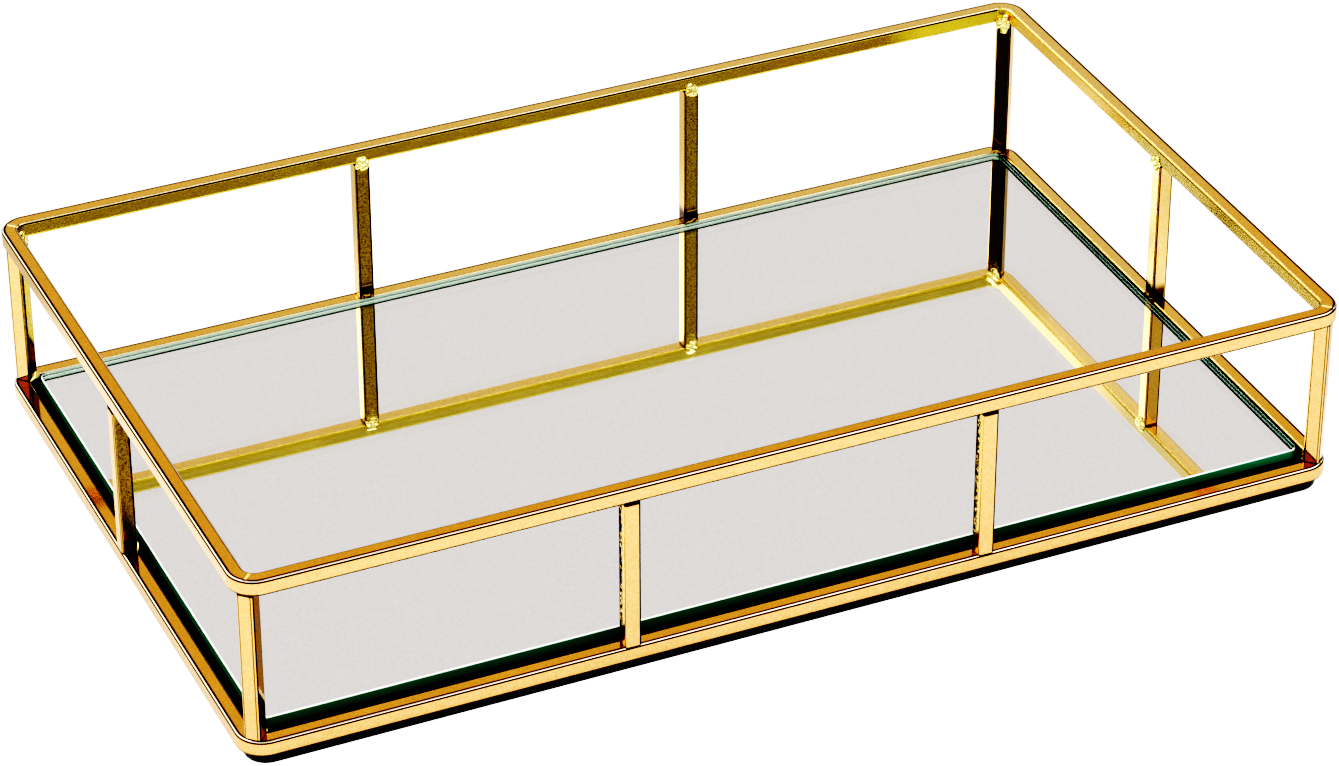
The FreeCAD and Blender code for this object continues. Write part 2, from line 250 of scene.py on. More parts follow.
# Rails.
INNER_SIDE = (-0.001, -0.004)
# Painted shade: the top faces at the near left a little darker and more orange.
NEAR_TOP_PAINTED_SHADE = (0.98, 0.86, 0.68)
# Painted shade on the right rail's inner face, fading towards its back end.
RIGHT_INNER_PAINTED_SHADE = (0.30, 0.32, 0.24)
RIGHT_INNER_FAR_PAINTED_SHADE = (1.0, 0.93, 0.80)
RIGHT_INNER_FAR_END = (0.0, 0.05)
RIGHT_INNER_SPECKLES = 0.45
RIGHT_EDGE_EVENNESS = 0.8
# Painted shade on the back rail's inner face, which the back posts' front faces share.
BACK_INNER_PAINTED_SHADE = (0.64, 0.76, 0.42)
BACK_INNER_EVENNESS = 0.7
# How much of the painted edge highlight is left on the back rail's inner edge.
BACK_PAINTED_HIGHLIGHT = 0.5
SMUDGE_LEVELS = (0.35, 0.75)
RAIL_ROUGHNESS = (0.05, 0.12)
INNER_ROUGHNESS = 0.14

# A rail's rounded edges, by how far the surface faces down (0) or up (1): painted dark reflection lines,
# and a painted highlight between them.
EDGE_PAINTED_SHADE = ((0.010, 1.0), (0.04, 0.06), (0.43, 0.06), (0.485, 1.0), (0.60, 1.0), (0.65, 0.08),
              (0.86, 0.08), (0.89, 1.0), (0.972, 1.0), (0.982, 0.05), (0.9985, 0.05), (0.9998, 1.0))
PAINTED_HIGHLIGHT_PLACES = ((0.86, 0.0), (0.89, 1.0), (0.965, 1.0), (0.98, 0.0))
PAINTED_HIGHLIGHT_COLOUR = (0.60, 0.57, 0.50)

# A painted dark reflection line on the top faces, just inside the rounded outer edge.
FRAME_CORNER_RADIUS = 7.5 * MM
EDGE_LINE_PLACES = (1.35 * MM, 0.9 * MM)
EDGE_LINE_PAINTED_SHADE = (0.05, 0.05, 0.05)

MITRE_HALF_WIDTH = 1.3 * MM
MITRE_DEPTH_MM = 0.12

# Posts: a painted shadow at each end, where a post meets a rail: how far from the end it starts, and how
# far from it it is complete.
TOP_END_SHADOW = (0.85 * MM, 0.45 * MM)
FOOT_END_SHADOW = (0.42 * MM, 0.12 * MM)
# The colour of the posts' painted shadows and painted dark lines.
POST_PAINTED_SHADE = (0.04, 0.03, 0.02)
END_SHADOW_ROUGHNESS = 0.5

# A post's rounded edge, with painted dark lines, by how nearly the surface faces along X or Y.
# OFF_DIAGONAL is how far it is turned away from halfway between them.
POST_EDGE_PAINTED_SHADE = ((0.77, 1.0), (0.80, 0.18), (0.92, 0.18), (0.96, 1.0))
FACING_SIDEWAYS = (0.9, 0.97)
TURNING_RIGHT = (0.10, 0.22)
TURNING_FRONT = (0.0, -0.2)
OFF_DIAGONAL = (0.02, 0.06)
POST_ROUGHNESS = (0.07, 0.25)

# The left faces of the two front side posts: darkened with painted shade, pitted towards the back, with
# a ragged painted dark line along the back edge.
# The shares are of the bar's size, from the post's front face.
AWAY_FROM_ENDS = (0.12, 0.10)
NEAR_FRONT = (-0.03, -0.06)
FACING_LEFT_SQUARELY = (-0.85, -0.97)
NEAR_POST_SIDE_PAINTED_SHADE = (0.62, 0.66, 0.50)
PIT_LEVELS = (0.58, 0.50)
PITTED_SHARES = (0.25, 0.6)
DARK_LINE_SHARES = (0.88, 0.98)
RAGGED_SHARE = 0.3
PIT_SHADE = (0.06, 0.04, 0.02)
PIT_ROUGHNESS = 0.85
PIT_DEPTH_MM = 0.14

# The front face of the left end post, darkened to olive with painted shade.
LEFT_END = (-0.12, -0.14)
MIDDLE_OF_END = (0.02, 0.01)
LEFT_END_PAINTED_SHADE = (0.52, 0.68, 0.42)

# The front faces of the back posts, which get painted shade, and the one in the back right corner, which
# gets darker painted shade.
NEAR_BACK = (0.02, 0.04)
TURNED_IN = (0.01, 0.0)
RIGHT_END = (0.12, 0.14)
BACK_CORNER_PAINTED_SHADE = (0.30, 0.24, 0.18)

# Painted shade at the feet of all but the front posts, on all but their outer faces.
LOW_SHADE_REACH = 6.0 * MM
LOW_SHADE_TURNED_IN = (0.02, 0.005)
LOW_SHADE_PLACES = (-0.05, -0.03)
LOW_PAINTED_SHADE = (0.09, 0.045, 0.02)

# Beads.
BEAD_PIT_LEVELS = (0.30, 0.38)
BEAD_PIT_SHADE = 0.25
BEAD_ROUGHNESS = (0.08, 0.22)
BEAD_RIPPLE_DEPTH_MM = 0.02
# Painted shade on the foot beads, all but those at the left end.
FOOT_BEAD_PAINTED_SHADE = (0.20, 0.13, 0.05)
FOOT_BEAD_SHADE_HEIGHTS = (0.014, 0.011)
FOOT_BEAD_SHADE_PLACES = (-0.145, -0.140)


def far_share(nodes, spot):
    """A share from 0 at the near left of the tray to 1 at the far right."""
    place = nodes.maths("ADD", nodes.product(spot.across, FAR_LEAN), spot.along)
    return nodes.remap(place, *FAR_PLACES)


def plated_tone(nodes, where, far):
    """Finely mottled gold, a little deeper at the near left of the tray."""
    tone = nodes.noise(where, size_mm=0.6, detail=3, roughness=0.7)
    return nodes.blend(far, nodes.colours(tone, *NEAR_GOLD), nodes.colours(tone, *FAR_GOLD))


def plated_surface(nodes, where):
    """Orange peel and fine grain in the plating, as a normal."""
    peel = nodes.bump(nodes.noise(where, size_mm=2.4, detail=1), PEEL_DEPTH_MM)
    return nodes.bump(nodes.noise(where, size_mm=0.4, detail=2), GRAIN_DEPTH_MM, normal=peel)


def fine_speckles(nodes, where):
    """The duller grains of a face that wasn't polished."""
    return nodes.remap(nodes.noise(where, size_mm=0.6, detail=2, roughness=0.7), *SPECKLE_LEVELS)


def outline_inset(nodes, spot):
    """How far a point of a rail lies inside the frame's rounded outline."""
    past = []
    for place, half in ((spot.across, CAD_BOX[1].x), (spot.along, CAD_BOX[1].y)):
        past.append(nodes.maths("SUBTRACT", nodes.unsigned(place), half - FRAME_CORNER_RADIUS))
    straight = nodes.maths("MINIMUM", nodes.maths("MAXIMUM", *past), 0.0)
    turn_x, turn_y = [nodes.maths("MAXIMUM", value, 0.0) for value in past]
    squares = nodes.maths("ADD", nodes.product(turn_x, turn_x), nodes.product(turn_y, turn_y))
    reach = nodes.maths("ADD", nodes.maths("SQRT", squares), straight)
    return nodes.maths("SUBTRACT", FRAME_CORNER_RADIUS, reach)


def rail_colour(nodes, where, spot, top, inner_side):
    """The rails' gold, with painted shade on the near top faces and on the right and back inner faces,
    and painted edge lines and highlights.
    """
    upward = nodes.remap_evenly(spot.up, -1.0, 1.0)
    right_inner = nodes.product(inner_side, nodes.remap(spot.right, *FACING_LEFT))
    right_edge = nodes.product(inner_side, nodes.remap(spot.right, *TURNING_INWARD))
    back_inner = nodes.product(inner_side, nodes.remap(spot.back, *FACING_FRONT))
    back_edge = nodes.product(inner_side, nodes.remap(spot.back, *TURNING_INWARD))

    far = far_share(nodes, spot)
    colour = plated_tone(nodes, where, far)
    # Painted shade: the top faces at the near left a little darker and more orange.
    colour = nodes.tint_part(nodes.product(top, nodes.reverse(far)), colour, NEAR_TOP_PAINTED_SHADE)
    # Painted shade: the right rail's inner face darkened to olive, less at its back end.
    right_painted_shade = nodes.blend(nodes.remap(spot.along, *RIGHT_INNER_FAR_END),
                             RIGHT_INNER_PAINTED_SHADE, RIGHT_INNER_FAR_PAINTED_SHADE)
    colour = nodes.tint_part(right_inner, colour, right_painted_shade)
    evenness = nodes.product(back_inner, BACK_INNER_EVENNESS)
    colour = nodes.blend(evenness, colour, EVEN_GOLD)
    # Painted shade: the back rail's inner face darkened to olive.
    colour = nodes.tint_part(back_inner, colour, BACK_INNER_PAINTED_SHADE)

    dull = nodes.product(inner_side, fine_speckles(nodes, where),
                         nodes.remap(right_inner, 0.0, 1.0, 1.0, RIGHT_INNER_SPECKLES),
                         nodes.reverse(evenness))
    colour = nodes.blend(dull, colour, nodes.tint(colour, SPECKLE_SHADE))
    # Painted highlight: a pale line along the rounded edges, weaker on the back rail's inner edge and
    # left off the right rail's.
    painted_highlight = nodes.product(nodes.greys(upward, PAINTED_HIGHLIGHT_PLACES), nodes.reverse(right_edge),
                              nodes.remap(back_edge, 0.0, 1.0, 1.0, BACK_PAINTED_HIGHLIGHT))
    colour = nodes.blend(painted_highlight, colour, PAINTED_HIGHLIGHT_COLOUR)

    # Where the painted edge shade is left off: the lower inner edges and the right rail's inner edge.
    plain_edge = nodes.product(inner_side, nodes.remap(spot.up, *FACING_DOWN))
    plain_edge = nodes.maths("MAXIMUM", plain_edge, nodes.product(right_edge, RIGHT_EDGE_EVENNESS))
    return nodes.tint(colour, rail_painted_edge_lines(nodes, spot, upward, top, plain_edge))


def rail_painted_edge_lines(nodes, spot, upward, top, plain_edge):
    """Painted shade: the dark reflection lines in the rails' rounded edges, and beside them on the top
    faces.
    """
    shade = nodes.blend(plain_edge, nodes.greys(upward, EDGE_PAINTED_SHADE), WHITE)
    painted_line_on_top = nodes.product(nodes.remap(outline_inset(nodes, spot), *EDGE_LINE_PLACES), top)
    return nodes.blend(painted_line_on_top, shade, EDGE_LINE_PAINTED_SHADE)


def ground_mitres(nodes, where, spot):
    """Shallow swells where the mitres were ground, over the plated surface, as a normal."""
    off_mitre = nodes.maths("SUBTRACT", nodes.unsigned(spot.across), nodes.unsigned(spot.along))
    off_mitre = nodes.maths("SUBTRACT", off_mitre, CAD_BOX[1].x - CAD_BOX[1].y)
    swell = nodes.remap(nodes.unsigned(off_mitre), 0.0, MITRE_HALF_WIDTH, 1.0, 0.0)
    return nodes.bump(swell, MITRE_DEPTH_MM, normal=plated_surface(nodes, where))


def rail_gold():
    """Polished plate on the rails: painted edge lines and highlights, ground mitres, and a duller inner
    side, partly darkened with painted shade.
    """
    material, nodes, shader, where = new_material("gold_rail")
    spot = Spot(nodes, where)
    top = nodes.remap(spot.up, *FACING_UP)
    inner_side = nodes.remap(spot.outward, *INNER_SIDE)
    smudge = nodes.noise(where, size_mm=14, detail=3)
    smudge = nodes.remap(smudge, *SMUDGE_LEVELS, *RAIL_ROUGHNESS)
    roughness = nodes.maths("ADD", smudge, nodes.product(inner_side, INNER_ROUGHNESS))
    shader.inputs["Metallic"].default_value = 1.0
    nodes.feed(shader.inputs["Base Color"], rail_colour(nodes, where, spot, top, inner_side))
    nodes.feed(shader.inputs["Roughness"], roughness)
    nodes.feed(shader.inputs["Normal"], ground_mitres(nodes, where, spot))
    return material


class PostParts:
    """The parts of the posts that look different, each as a share from 0 to 1."""

    def __init__(self, nodes, where, spot):
        low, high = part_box("front_left_side_post")
        self.side_post = nodes.remap(nodes.unsigned(spot.across), *AWAY_FROM_ENDS)
        near_post = nodes.product(self.side_post, nodes.remap(spot.along, *NEAR_FRONT))
        self.near_side = nodes.product(near_post, nodes.remap(spot.right, *FACING_LEFT_SQUARELY))
        self.near_edge = nodes.product(near_post, nodes.remap(spot.right, *TURNING_INWARD))
        self.seam = nodes.maths(
            "MAXIMUM", nodes.remap(spot.height, *[high.z - reach for reach in TOP_END_SHADOW]),
            nodes.remap(spot.height, *[low.z + reach for reach in FOOT_END_SHADOW]))
        self.low_shade = nodes.product(
            nodes.remap(spot.height, low.z + LOW_SHADE_REACH, low.z + LOW_SHADE_REACH / 2),
            nodes.remap(spot.outward, *LOW_SHADE_TURNED_IN), nodes.remap(spot.along, *LOW_SHADE_PLACES))
        self.end_face = nodes.product(
            nodes.remap(spot.back, *FACING_FRONT_SQUARELY),
            nodes.remap(nodes.unsigned(spot.along), *MIDDLE_OF_END),
            nodes.remap(spot.across, *LEFT_END))
        self.back_face = nodes.product(
            nodes.remap(spot.back, *FACING_FRONT), nodes.remap(spot.along, *NEAR_BACK),
            nodes.remap(spot.outward, *TURNED_IN))
        self.add_pits(nodes, where, spot, low.y)

    def add_pits(self, nodes, where, spot, front):
        """The pitted part of the near side posts' left faces, and the ragged painted dark line behind
        it.
        """
        pit_noise = nodes.noise(where, size_mm=1.2, detail=3, roughness=0.7)
        pitted = nodes.remap(spot.along, *[front + BAR_SIZE * share for share in PITTED_SHARES])
        self.pitted = nodes.product(self.near_side, pitted)
        self.pits = nodes.product(self.pitted, nodes.remap(pit_noise, *PIT_LEVELS))
        ragged = nodes.maths("ADD", spot.along, nodes.product(pit_noise, BAR_SIZE * RAGGED_SHARE))
        painted_dark_line = nodes.remap(ragged, *[front + BAR_SIZE * share for share in DARK_LINE_SHARES])
        self.painted_dark_line = nodes.product(self.near_side, painted_dark_line)


def painted_right_edge_line(nodes, spot, side_post):
    """The painted dark line down a post's right front edge, but not over a corner post's flat face."""
    off_diagonal = nodes.maths("SUBTRACT", nodes.unsigned(spot.right), math.sqrt(0.5))
    allowed = nodes.remap(nodes.unsigned(off_diagonal), *OFF_DIAGONAL)
    return nodes.product(nodes.remap(spot.right, *TURNING_RIGHT),
                         nodes.remap(spot.back, *TURNING_FRONT),
                         nodes.maths("MAXIMUM", allowed, side_post))


def post_colour(nodes, where, spot, parts):
    """The posts' gold, with pits, speckled unpolished faces, and painted shade: on some faces, at the
    ends and feet, and in dark lines along edges.
    """
    colour = plated_tone(nodes, where, far_share(nodes, spot))
    # Painted shade on the near side posts' left faces; then pits, and a ragged painted dark line at the
    # back edge.
    colour = nodes.tint_part(parts.near_side, colour, NEAR_POST_SIDE_PAINTED_SHADE)
    colour = nodes.blend(parts.pits, colour, PIT_SHADE)
    colour = nodes.blend(parts.painted_dark_line, colour, POST_PAINTED_SHADE)
    # Painted shade on the left end post's front face.
    colour = nodes.tint_part(parts.end_face, colour, LEFT_END_PAINTED_SHADE)
    # Painted shade on the back posts' front faces, darker in the back right corner.
    colour = nodes.tint_part(parts.back_face, colour, BACK_INNER_PAINTED_SHADE)
    back_corner_shaded = nodes.product(parts.back_face, nodes.remap(spot.across, *RIGHT_END))
    colour = nodes.tint_part(back_corner_shaded, colour, BACK_CORNER_PAINTED_SHADE)
    unpolished = nodes.maths("MAXIMUM", parts.back_face, parts.end_face)
    speckled = nodes.product(fine_speckles(nodes, where), unpolished)
    colour = nodes.blend(speckled, colour, nodes.tint(colour, SPECKLE_SHADE))
    # Painted shade at the feet of all but the front posts.
    colour = nodes.blend(parts.low_shade, colour, LOW_PAINTED_SHADE)
    # Painted shade: a dark line down each post's right front edge.
    colour = nodes.blend(painted_right_edge_line(nodes, spot, parts.side_post), colour, POST_PAINTED_SHADE)
    # Painted shadow where each post meets a rail.
    colour = nodes.blend(parts.seam, colour, POST_PAINTED_SHADE)
    # Painted shade: dark lines beside the middle of each rounded edge, except where the near side posts'
    # left faces turn inward.
    squareness = nodes.maths("MAXIMUM", nodes.unsigned(spot.right), nodes.unsigned(spot.back))
    shade = nodes.blend(parts.near_edge, nodes.greys(squareness, POST_EDGE_PAINTED_SHADE), WHITE)
    return nodes.tint(colour, shade)


def post_roughness(nodes, spot, parts):
    """Polished front faces, rougher sides, and dull bands under the painted end shadows, pits and
    painted dark lines.
    """
    rough_face = nodes.remap(nodes.unsigned(spot.right), *FACING_SIDEWAYS)
    rough_face = nodes.maths("MAXIMUM", rough_face, parts.end_face)
    roughness = nodes.maths("MAXIMUM", nodes.remap(rough_face, 0.0, 1.0, *POST_ROUGHNESS),
                            nodes.product(parts.seam, END_SHADOW_ROUGHNESS))
    pitted = nodes.maths("MAXIMUM", parts.pits, parts.painted_dark_line)
    return nodes.maths("MAXIMUM", roughness, nodes.product(pitted, PIT_ROUGHNESS))


def post_gold():
    """Plate on the posts: painted shadows at the ends, painted shade and dark edge lines, pits, and
    faces that weren't polished.
    """
    material, nodes, shader, where = new_material("gold_post")
    spot = Spot(nodes, where)
    parts = PostParts(nodes, where, spot)
    pit_bump = nodes.product(nodes.noise(where, size_mm=0.9, detail=3), parts.pitted)
    shader.inputs["Metallic"].default_value = 1.0
    nodes.feed(shader.inputs["Base Color"], post_colour(nodes, where, spot, parts))
    nodes.feed(shader.inputs["Roughness"], post_roughness(nodes, spot, parts))
    nodes.feed(shader.inputs["Normal"],
               nodes.bump(pit_bump, PIT_DEPTH_MM, normal=plated_surface(nodes, where)))
    return material


def bead_gold():
    """Bright plate on beads left as laid: rippled, pitted, and darkened with painted shade on the foot
    beads, all but those at the left end.
    """
    material, nodes, shader, where = new_material("gold_bead")
    across, _, height = nodes.split(where)
    tone = nodes.noise(where, size_mm=1.0, detail=2)
    pits = nodes.remap(nodes.noise(where, size_mm=1.6, detail=1), *BEAD_PIT_LEVELS, BEAD_PIT_SHADE, 1.0)
    colour = nodes.tint(nodes.colours(tone, *BEAD_GOLD), pits)
    # Painted shade on the low beads, all but those at the left end.
    shaded_foot_beads = nodes.product(nodes.remap(height, *FOOT_BEAD_SHADE_HEIGHTS),
                             nodes.remap(across, *FOOT_BEAD_SHADE_PLACES))
    shader.inputs["Metallic"].default_value = 1.0
    nodes.feed(shader.inputs["Base Color"], nodes.blend(shaded_foot_beads, colour, FOOT_BEAD_PAINTED_SHADE))
    nodes.feed(shader.inputs["Roughness"], nodes.remap(tone, *NOISE_LEVELS, *BEAD_ROUGHNESS))
    nodes.feed(shader.inputs["Normal"],
               nodes.bump(nodes.noise(where, size_mm=1.2, detail=1), BEAD_RIPPLE_DEPTH_MM))
    return material


# -------------------------------------------------------------- other materials

# The glass's ground green edge, from the left end of the front to the right, with painted light: dark at
# the near left and lighter to the right, pale at the back, a painted highlight on the arris and painted
# shade underneath.
PAINTED_FRONT_GLASS_EDGE = ((0.0, (0.05, 0.18, 0.11)), (0.7, (0.02, 0.16, 0.095)), (0.9, (0.01, 0.22, 0.14)),
                    (1.0, (0.01, 0.31, 0.22)))
PAINTED_RIGHT_GLASS_EDGE = (0.05, 0.13, 0.095)
PAINTED_BACK_GLASS_EDGE = (0.50, 0.70, 0.53)
ARRIS_PAINTED_HIGHLIGHT = (0.95, 0.99, 0.97)
UNDER_EDGE_PAINTED_SHADE = (0.004, 0.02, 0.01)
GLASS_EDGE_REACH = 1.5 * MM
GLASS_EDGE_ROUGHNESS = 0.3
WIPE_ROUGHNESS = (0.0, 0.004)
GLASS_IOR = 1.52
FACING_OFF_VERTICAL = (0.9995, 0.99)
FACING_UNDER = (-0.1, -0.3)
FACING_ABOVE = (0.2, 0.4)

SILVER_TONES = ((0.36, (0.895, 0.895, 0.915)), (0.64, (0.99, 0.985, 0.965)))

FOAM_TONES = ((0.35, (0.006, 0.006, 0.006)), (0.8, (0.022, 0.022, 0.024)))
FOAM_ROUGHNESS = (0.12, 0.4)
FOAM_PEBBLE_SIZE = 0.9 * MM
FOAM_PEBBLE_DEPTH_MM = 0.3

BOARD_TONES = ((0.3, (0.004, 0.004, 0.005)), (0.8, (0.012, 0.012, 0.013)))
BOARD_ROUGHNESS = (0.6, 0.85)
BOARD_FIBRE_DEPTH_MM = 0.05

TAPE_TONES = ((0.3, (0.012, 0.012, 0.013)), (0.8, (0.05, 0.05, 0.052)))
TAPE_ROUGHNESS = 0.8
TAPE_CELL_DEPTH_MM = 0.06

PAPER_WHITE = (0.9, 0.9, 0.9)
PAPER_GREY = (0.45, 0.44, 0.40)
PAPER_ROUGHNESS = 0.9
PAPER_GLOW = 1.05
GREY_BEHIND = (0.10, 0.15)
GREY_BESIDE = (0.165, 0.20)
GREY_BESIDE_AMOUNT = 0.8
GREY_BESIDE_FROM = (-0.14, -0.03)


def clear_glass():
    """Float glass: clear through the plate, with a ground green edge whose painted light is darkest at
    the near left.
    """
    material, nodes, shader, where = new_material("float_glass")
    half_length, half_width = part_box("mirror_glass")[1].xy
    across, along, _ = nodes.split(where)
    upright = nodes.split(nodes.add("ShaderNodeTexCoord").outputs["Normal"])[2]
    at_right = nodes.remap(across, half_length - GLASS_EDGE_REACH, half_length - GLASS_EDGE_REACH / 3)
    at_back = nodes.remap(along, half_width - GLASS_EDGE_REACH, half_width - GLASS_EDGE_REACH / 3)
    edge = nodes.remap(nodes.unsigned(upright), *FACING_OFF_VERTICAL)
    arris = nodes.product(edge, nodes.remap(upright, *FACING_ABOVE), nodes.reverse(at_right))

    # Painted light on the green edge: lighter to the right and at the back, a painted highlight on the
    # arris, painted shade underneath.
    green = nodes.colours(nodes.remap_evenly(across, -half_length, half_length), *PAINTED_FRONT_GLASS_EDGE)
    green = nodes.blend(at_back, nodes.blend(at_right, green, PAINTED_RIGHT_GLASS_EDGE), PAINTED_BACK_GLASS_EDGE)
    green = nodes.blend(nodes.remap(upright, *FACING_UNDER), green, UNDER_EDGE_PAINTED_SHADE)
    edge_colour = nodes.blend(arris, green, ARRIS_PAINTED_HIGHLIGHT)
    wipe_marks = nodes.noise(where, size_mm=40, detail=3)
    wipe_marks = nodes.remap(wipe_marks, *NOISE_LEVELS, *WIPE_ROUGHNESS)

    shader.inputs["IOR"].default_value = GLASS_IOR
    nodes.feed(shader.inputs["Base Color"], nodes.blend(edge, WHITE, edge_colour))
    nodes.feed(shader.inputs["Metallic"], nodes.product(edge, nodes.maths("MAXIMUM", at_right, at_back)))
    nodes.feed(shader.inputs["Transmission Weight"], nodes.reverse(edge))
    nodes.feed(shader.inputs["Roughness"],
               nodes.maths("ADD", wipe_marks, nodes.product(edge, GLASS_EDGE_ROUGHNESS)))
    return material


def silvering():
    """Silver behind the glass, with a trace of unevenness."""
    material, nodes, shader, where = new_material("silvering")
    cloud = nodes.noise(where, size_mm=0.7, detail=3, roughness=0.8)
    shader.inputs["Metallic"].default_value = 1.0
    shader.inputs["Roughness"].default_value = 0.0
    nodes.feed(shader.inputs["Base Color"], nodes.colours(cloud, *SILVER_TONES))
    return material


def black_foam():
    """Closed-cell foam with a pebbled skin."""
    material, nodes, shader, where = new_material("black_foam")
    pebble = nodes.add("ShaderNodeTexVoronoi", feature="SMOOTH_F1")
    nodes.link(where, pebble.inputs["Vector"])
    pebble.inputs["Scale"].default_value = 1 / FOAM_PEBBLE_SIZE
    dust = nodes.noise(where, size_mm=5, detail=4, roughness=0.7)
    nodes.feed(shader.inputs["Base Color"], nodes.colours(dust, *FOAM_TONES))
    nodes.feed(shader.inputs["Roughness"], nodes.remap(dust, *NOISE_LEVELS, *FOAM_ROUGHNESS))
    raised = nodes.reverse(pebble.outputs["Distance"])
    nodes.feed(shader.inputs["Normal"], nodes.bump(raised, FOAM_PEBBLE_DEPTH_MM))
    return material


def black_board():
    """Black-faced backing board, with a faint fibre grain."""
    material, nodes, shader, where = new_material("black_board")
    fibre = nodes.noise(where, size_mm=1.2, detail=5, roughness=0.7, stretch=(0.25, 1, 1))
    nodes.feed(shader.inputs["Base Color"], nodes.colours(fibre, *BOARD_TONES))
    nodes.feed(shader.inputs["Roughness"], nodes.remap(fibre, *NOISE_LEVELS, *BOARD_ROUGHNESS))
    nodes.feed(shader.inputs["Normal"], nodes.bump(fibre, BOARD_FIBRE_DEPTH_MM))
    return material


def foam_tape():
    """Dark double-sided foam tape with small open cells."""
    material, nodes, shader, where = new_material("foam_tape")
    cells = nodes.noise(where, size_mm=0.5, detail=4, roughness=0.8)
    shader.inputs["Roughness"].default_value = TAPE_ROUGHNESS
    nodes.feed(shader.inputs["Base Color"], nodes.colours(cells, *TAPE_TONES))
    nodes.feed(shader.inputs["Normal"], nodes.bump(cells, TAPE_CELL_DEPTH_MM))
    return material


def pale_floor():
    """White paper, which the camera sees as pure white. It is greyer behind and beside the tray."""
    material, nodes, shader, where = new_material("studio_floor")
    across, along, _ = nodes.split(where)
    behind = nodes.remap(along, *GREY_BEHIND)
    beside = nodes.product(nodes.remap(across, *GREY_BESIDE, 0.0, GREY_BESIDE_AMOUNT),
                           nodes.remap(along, *GREY_BESIDE_FROM))
    nodes.feed(shader.inputs["Base Color"],
               nodes.blend(nodes.maths("MAXIMUM", behind, beside), PAPER_WHITE, PAPER_GREY))
    shader.inputs["Roughness"].default_value = PAPER_ROUGHNESS
    shader.inputs["Specular IOR Level"].default_value = 0.0
    glow = nodes.add("ShaderNodeEmission")
    glow.inputs["Strength"].default_value = PAPER_GLOW
    mix = nodes.add("ShaderNodeMixShader")
    nodes.link(nodes.add("ShaderNodeLightPath").outputs["Is Camera Ray"], mix.inputs[0])
    nodes.link(shader.outputs["BSDF"], mix.inputs[1])
    nodes.link(glow.outputs["Emission"], mix.inputs[2])
    output = [node for node in nodes.tree.nodes if node.type == "OUTPUT_MATERIAL"][0]
    nodes.link(mix.outputs[0], output.inputs["Surface"])
    return material


def dress(node_names, material):
    """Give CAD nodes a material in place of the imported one."""
    for name in node_names:
        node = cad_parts[name]
        node.data.materials.clear()
        node.data.materials.append(material)


# ---------------------------------------------------------------------- pieces

BEAD_HALF_WIDTH = 2.15 * MM
BEAD_BULGE = 1.2 * MM
RIM_BEAD_HALF_HEIGHT = 2.2 * MM
CORNER_BEAD_HALF_HEIGHT = 3.0 * MM
FOOT_BEAD_HALF_HEIGHT = 1.3 * MM
FOOT_BEAD_LIFT = 0.3 * MM

# A bead's lumps, which LUMP_SHIFT times its number shifts, and its groove.
LUMP_SIZE = 1.7 * MM
LUMP_HEIGHT = 0.30
LUMP_SHIFT = (7.3, 3.1, 0)
FIRST_RIM_BEAD = 20
GROOVE_DEPTH = 0.38
GROOVE_WIDTH = 0.16

PAD_CORNER_RADIUS = 6.25 * MM
PAD_PROFILE_STEPS = 10
PAD_CROWN = 0.5
PEBBLE_SIZE = 1.0 * MM
PEBBLE_HEIGHT = 0.07 * MM

GLASS_CORNER_RADIUS = 2.6 * MM
SILVER_GAP = 0.02 * MM

OUTLINE_STEP = 0.7 * MM
FEWEST_CORNER_STEPS = 6


def add_piece(name, mesh, material, replaced, smooth=True):
    """Put a finished mesh into the scene as a piece of the tray, in place of a CAD node."""
    data = bpy.data.meshes.new(name)
    mesh.to_mesh(data)
    mesh.free()
    for polygon in data.polygons:
        polygon.use_smooth = smooth
    data.materials.append(material)
    piece = bpy.data.objects.new(name, data)
    bpy.context.scene.collection.objects.link(piece)
    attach(piece, "root")
    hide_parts(replaced)
    return piece


def add_bead(mesh, centre, inward, half_height, seed):
    """One hand-laid bead: a squashed ball with lumps and a slanting groove, half sunk into the bars."""
    along = Vector((0, 0, 1)).cross(inward)
    turn = Matrix((along, inward, Vector((0, 0, 1)))).transposed().to_4x4()
    size = Matrix.Diagonal((BEAD_HALF_WIDTH, BEAD_BULGE, half_height, 1))
    shift = Vector([seed * step for step in LUMP_SHIFT])
    for vertex in bmesh.ops.create_icosphere(mesh, subdivisions=4, radius=1)["verts"]:
        place = size @ vertex.co
        lump = noise.noise(place / LUMP_SIZE + shift)
        off_groove = (vertex.co.x - vertex.co.z) * math.sqrt(0.5) - GROOVE_WIDTH
        groove = GROOVE_DEPTH * math.exp(-(off_groove / GROOVE_WIDTH) ** 2)
        vertex.co = Matrix.Translation(centre) @ turn @ (place * (1 + LUMP_HEIGHT * lump - groove))


def inward_direction(name, middle):
    """From a post towards the inside of the tray, square to the rail that it stands on."""
    to_middle = Vector((-math.copysign(1, middle.x), -math.copysign(1, middle.y), 0))
    if name.endswith("corner_post"):
        return to_middle.normalized()
    if name.endswith("end_post"):
        return Vector((to_middle.x, 0, 0))
    return Vector((0, to_middle.y, 0))


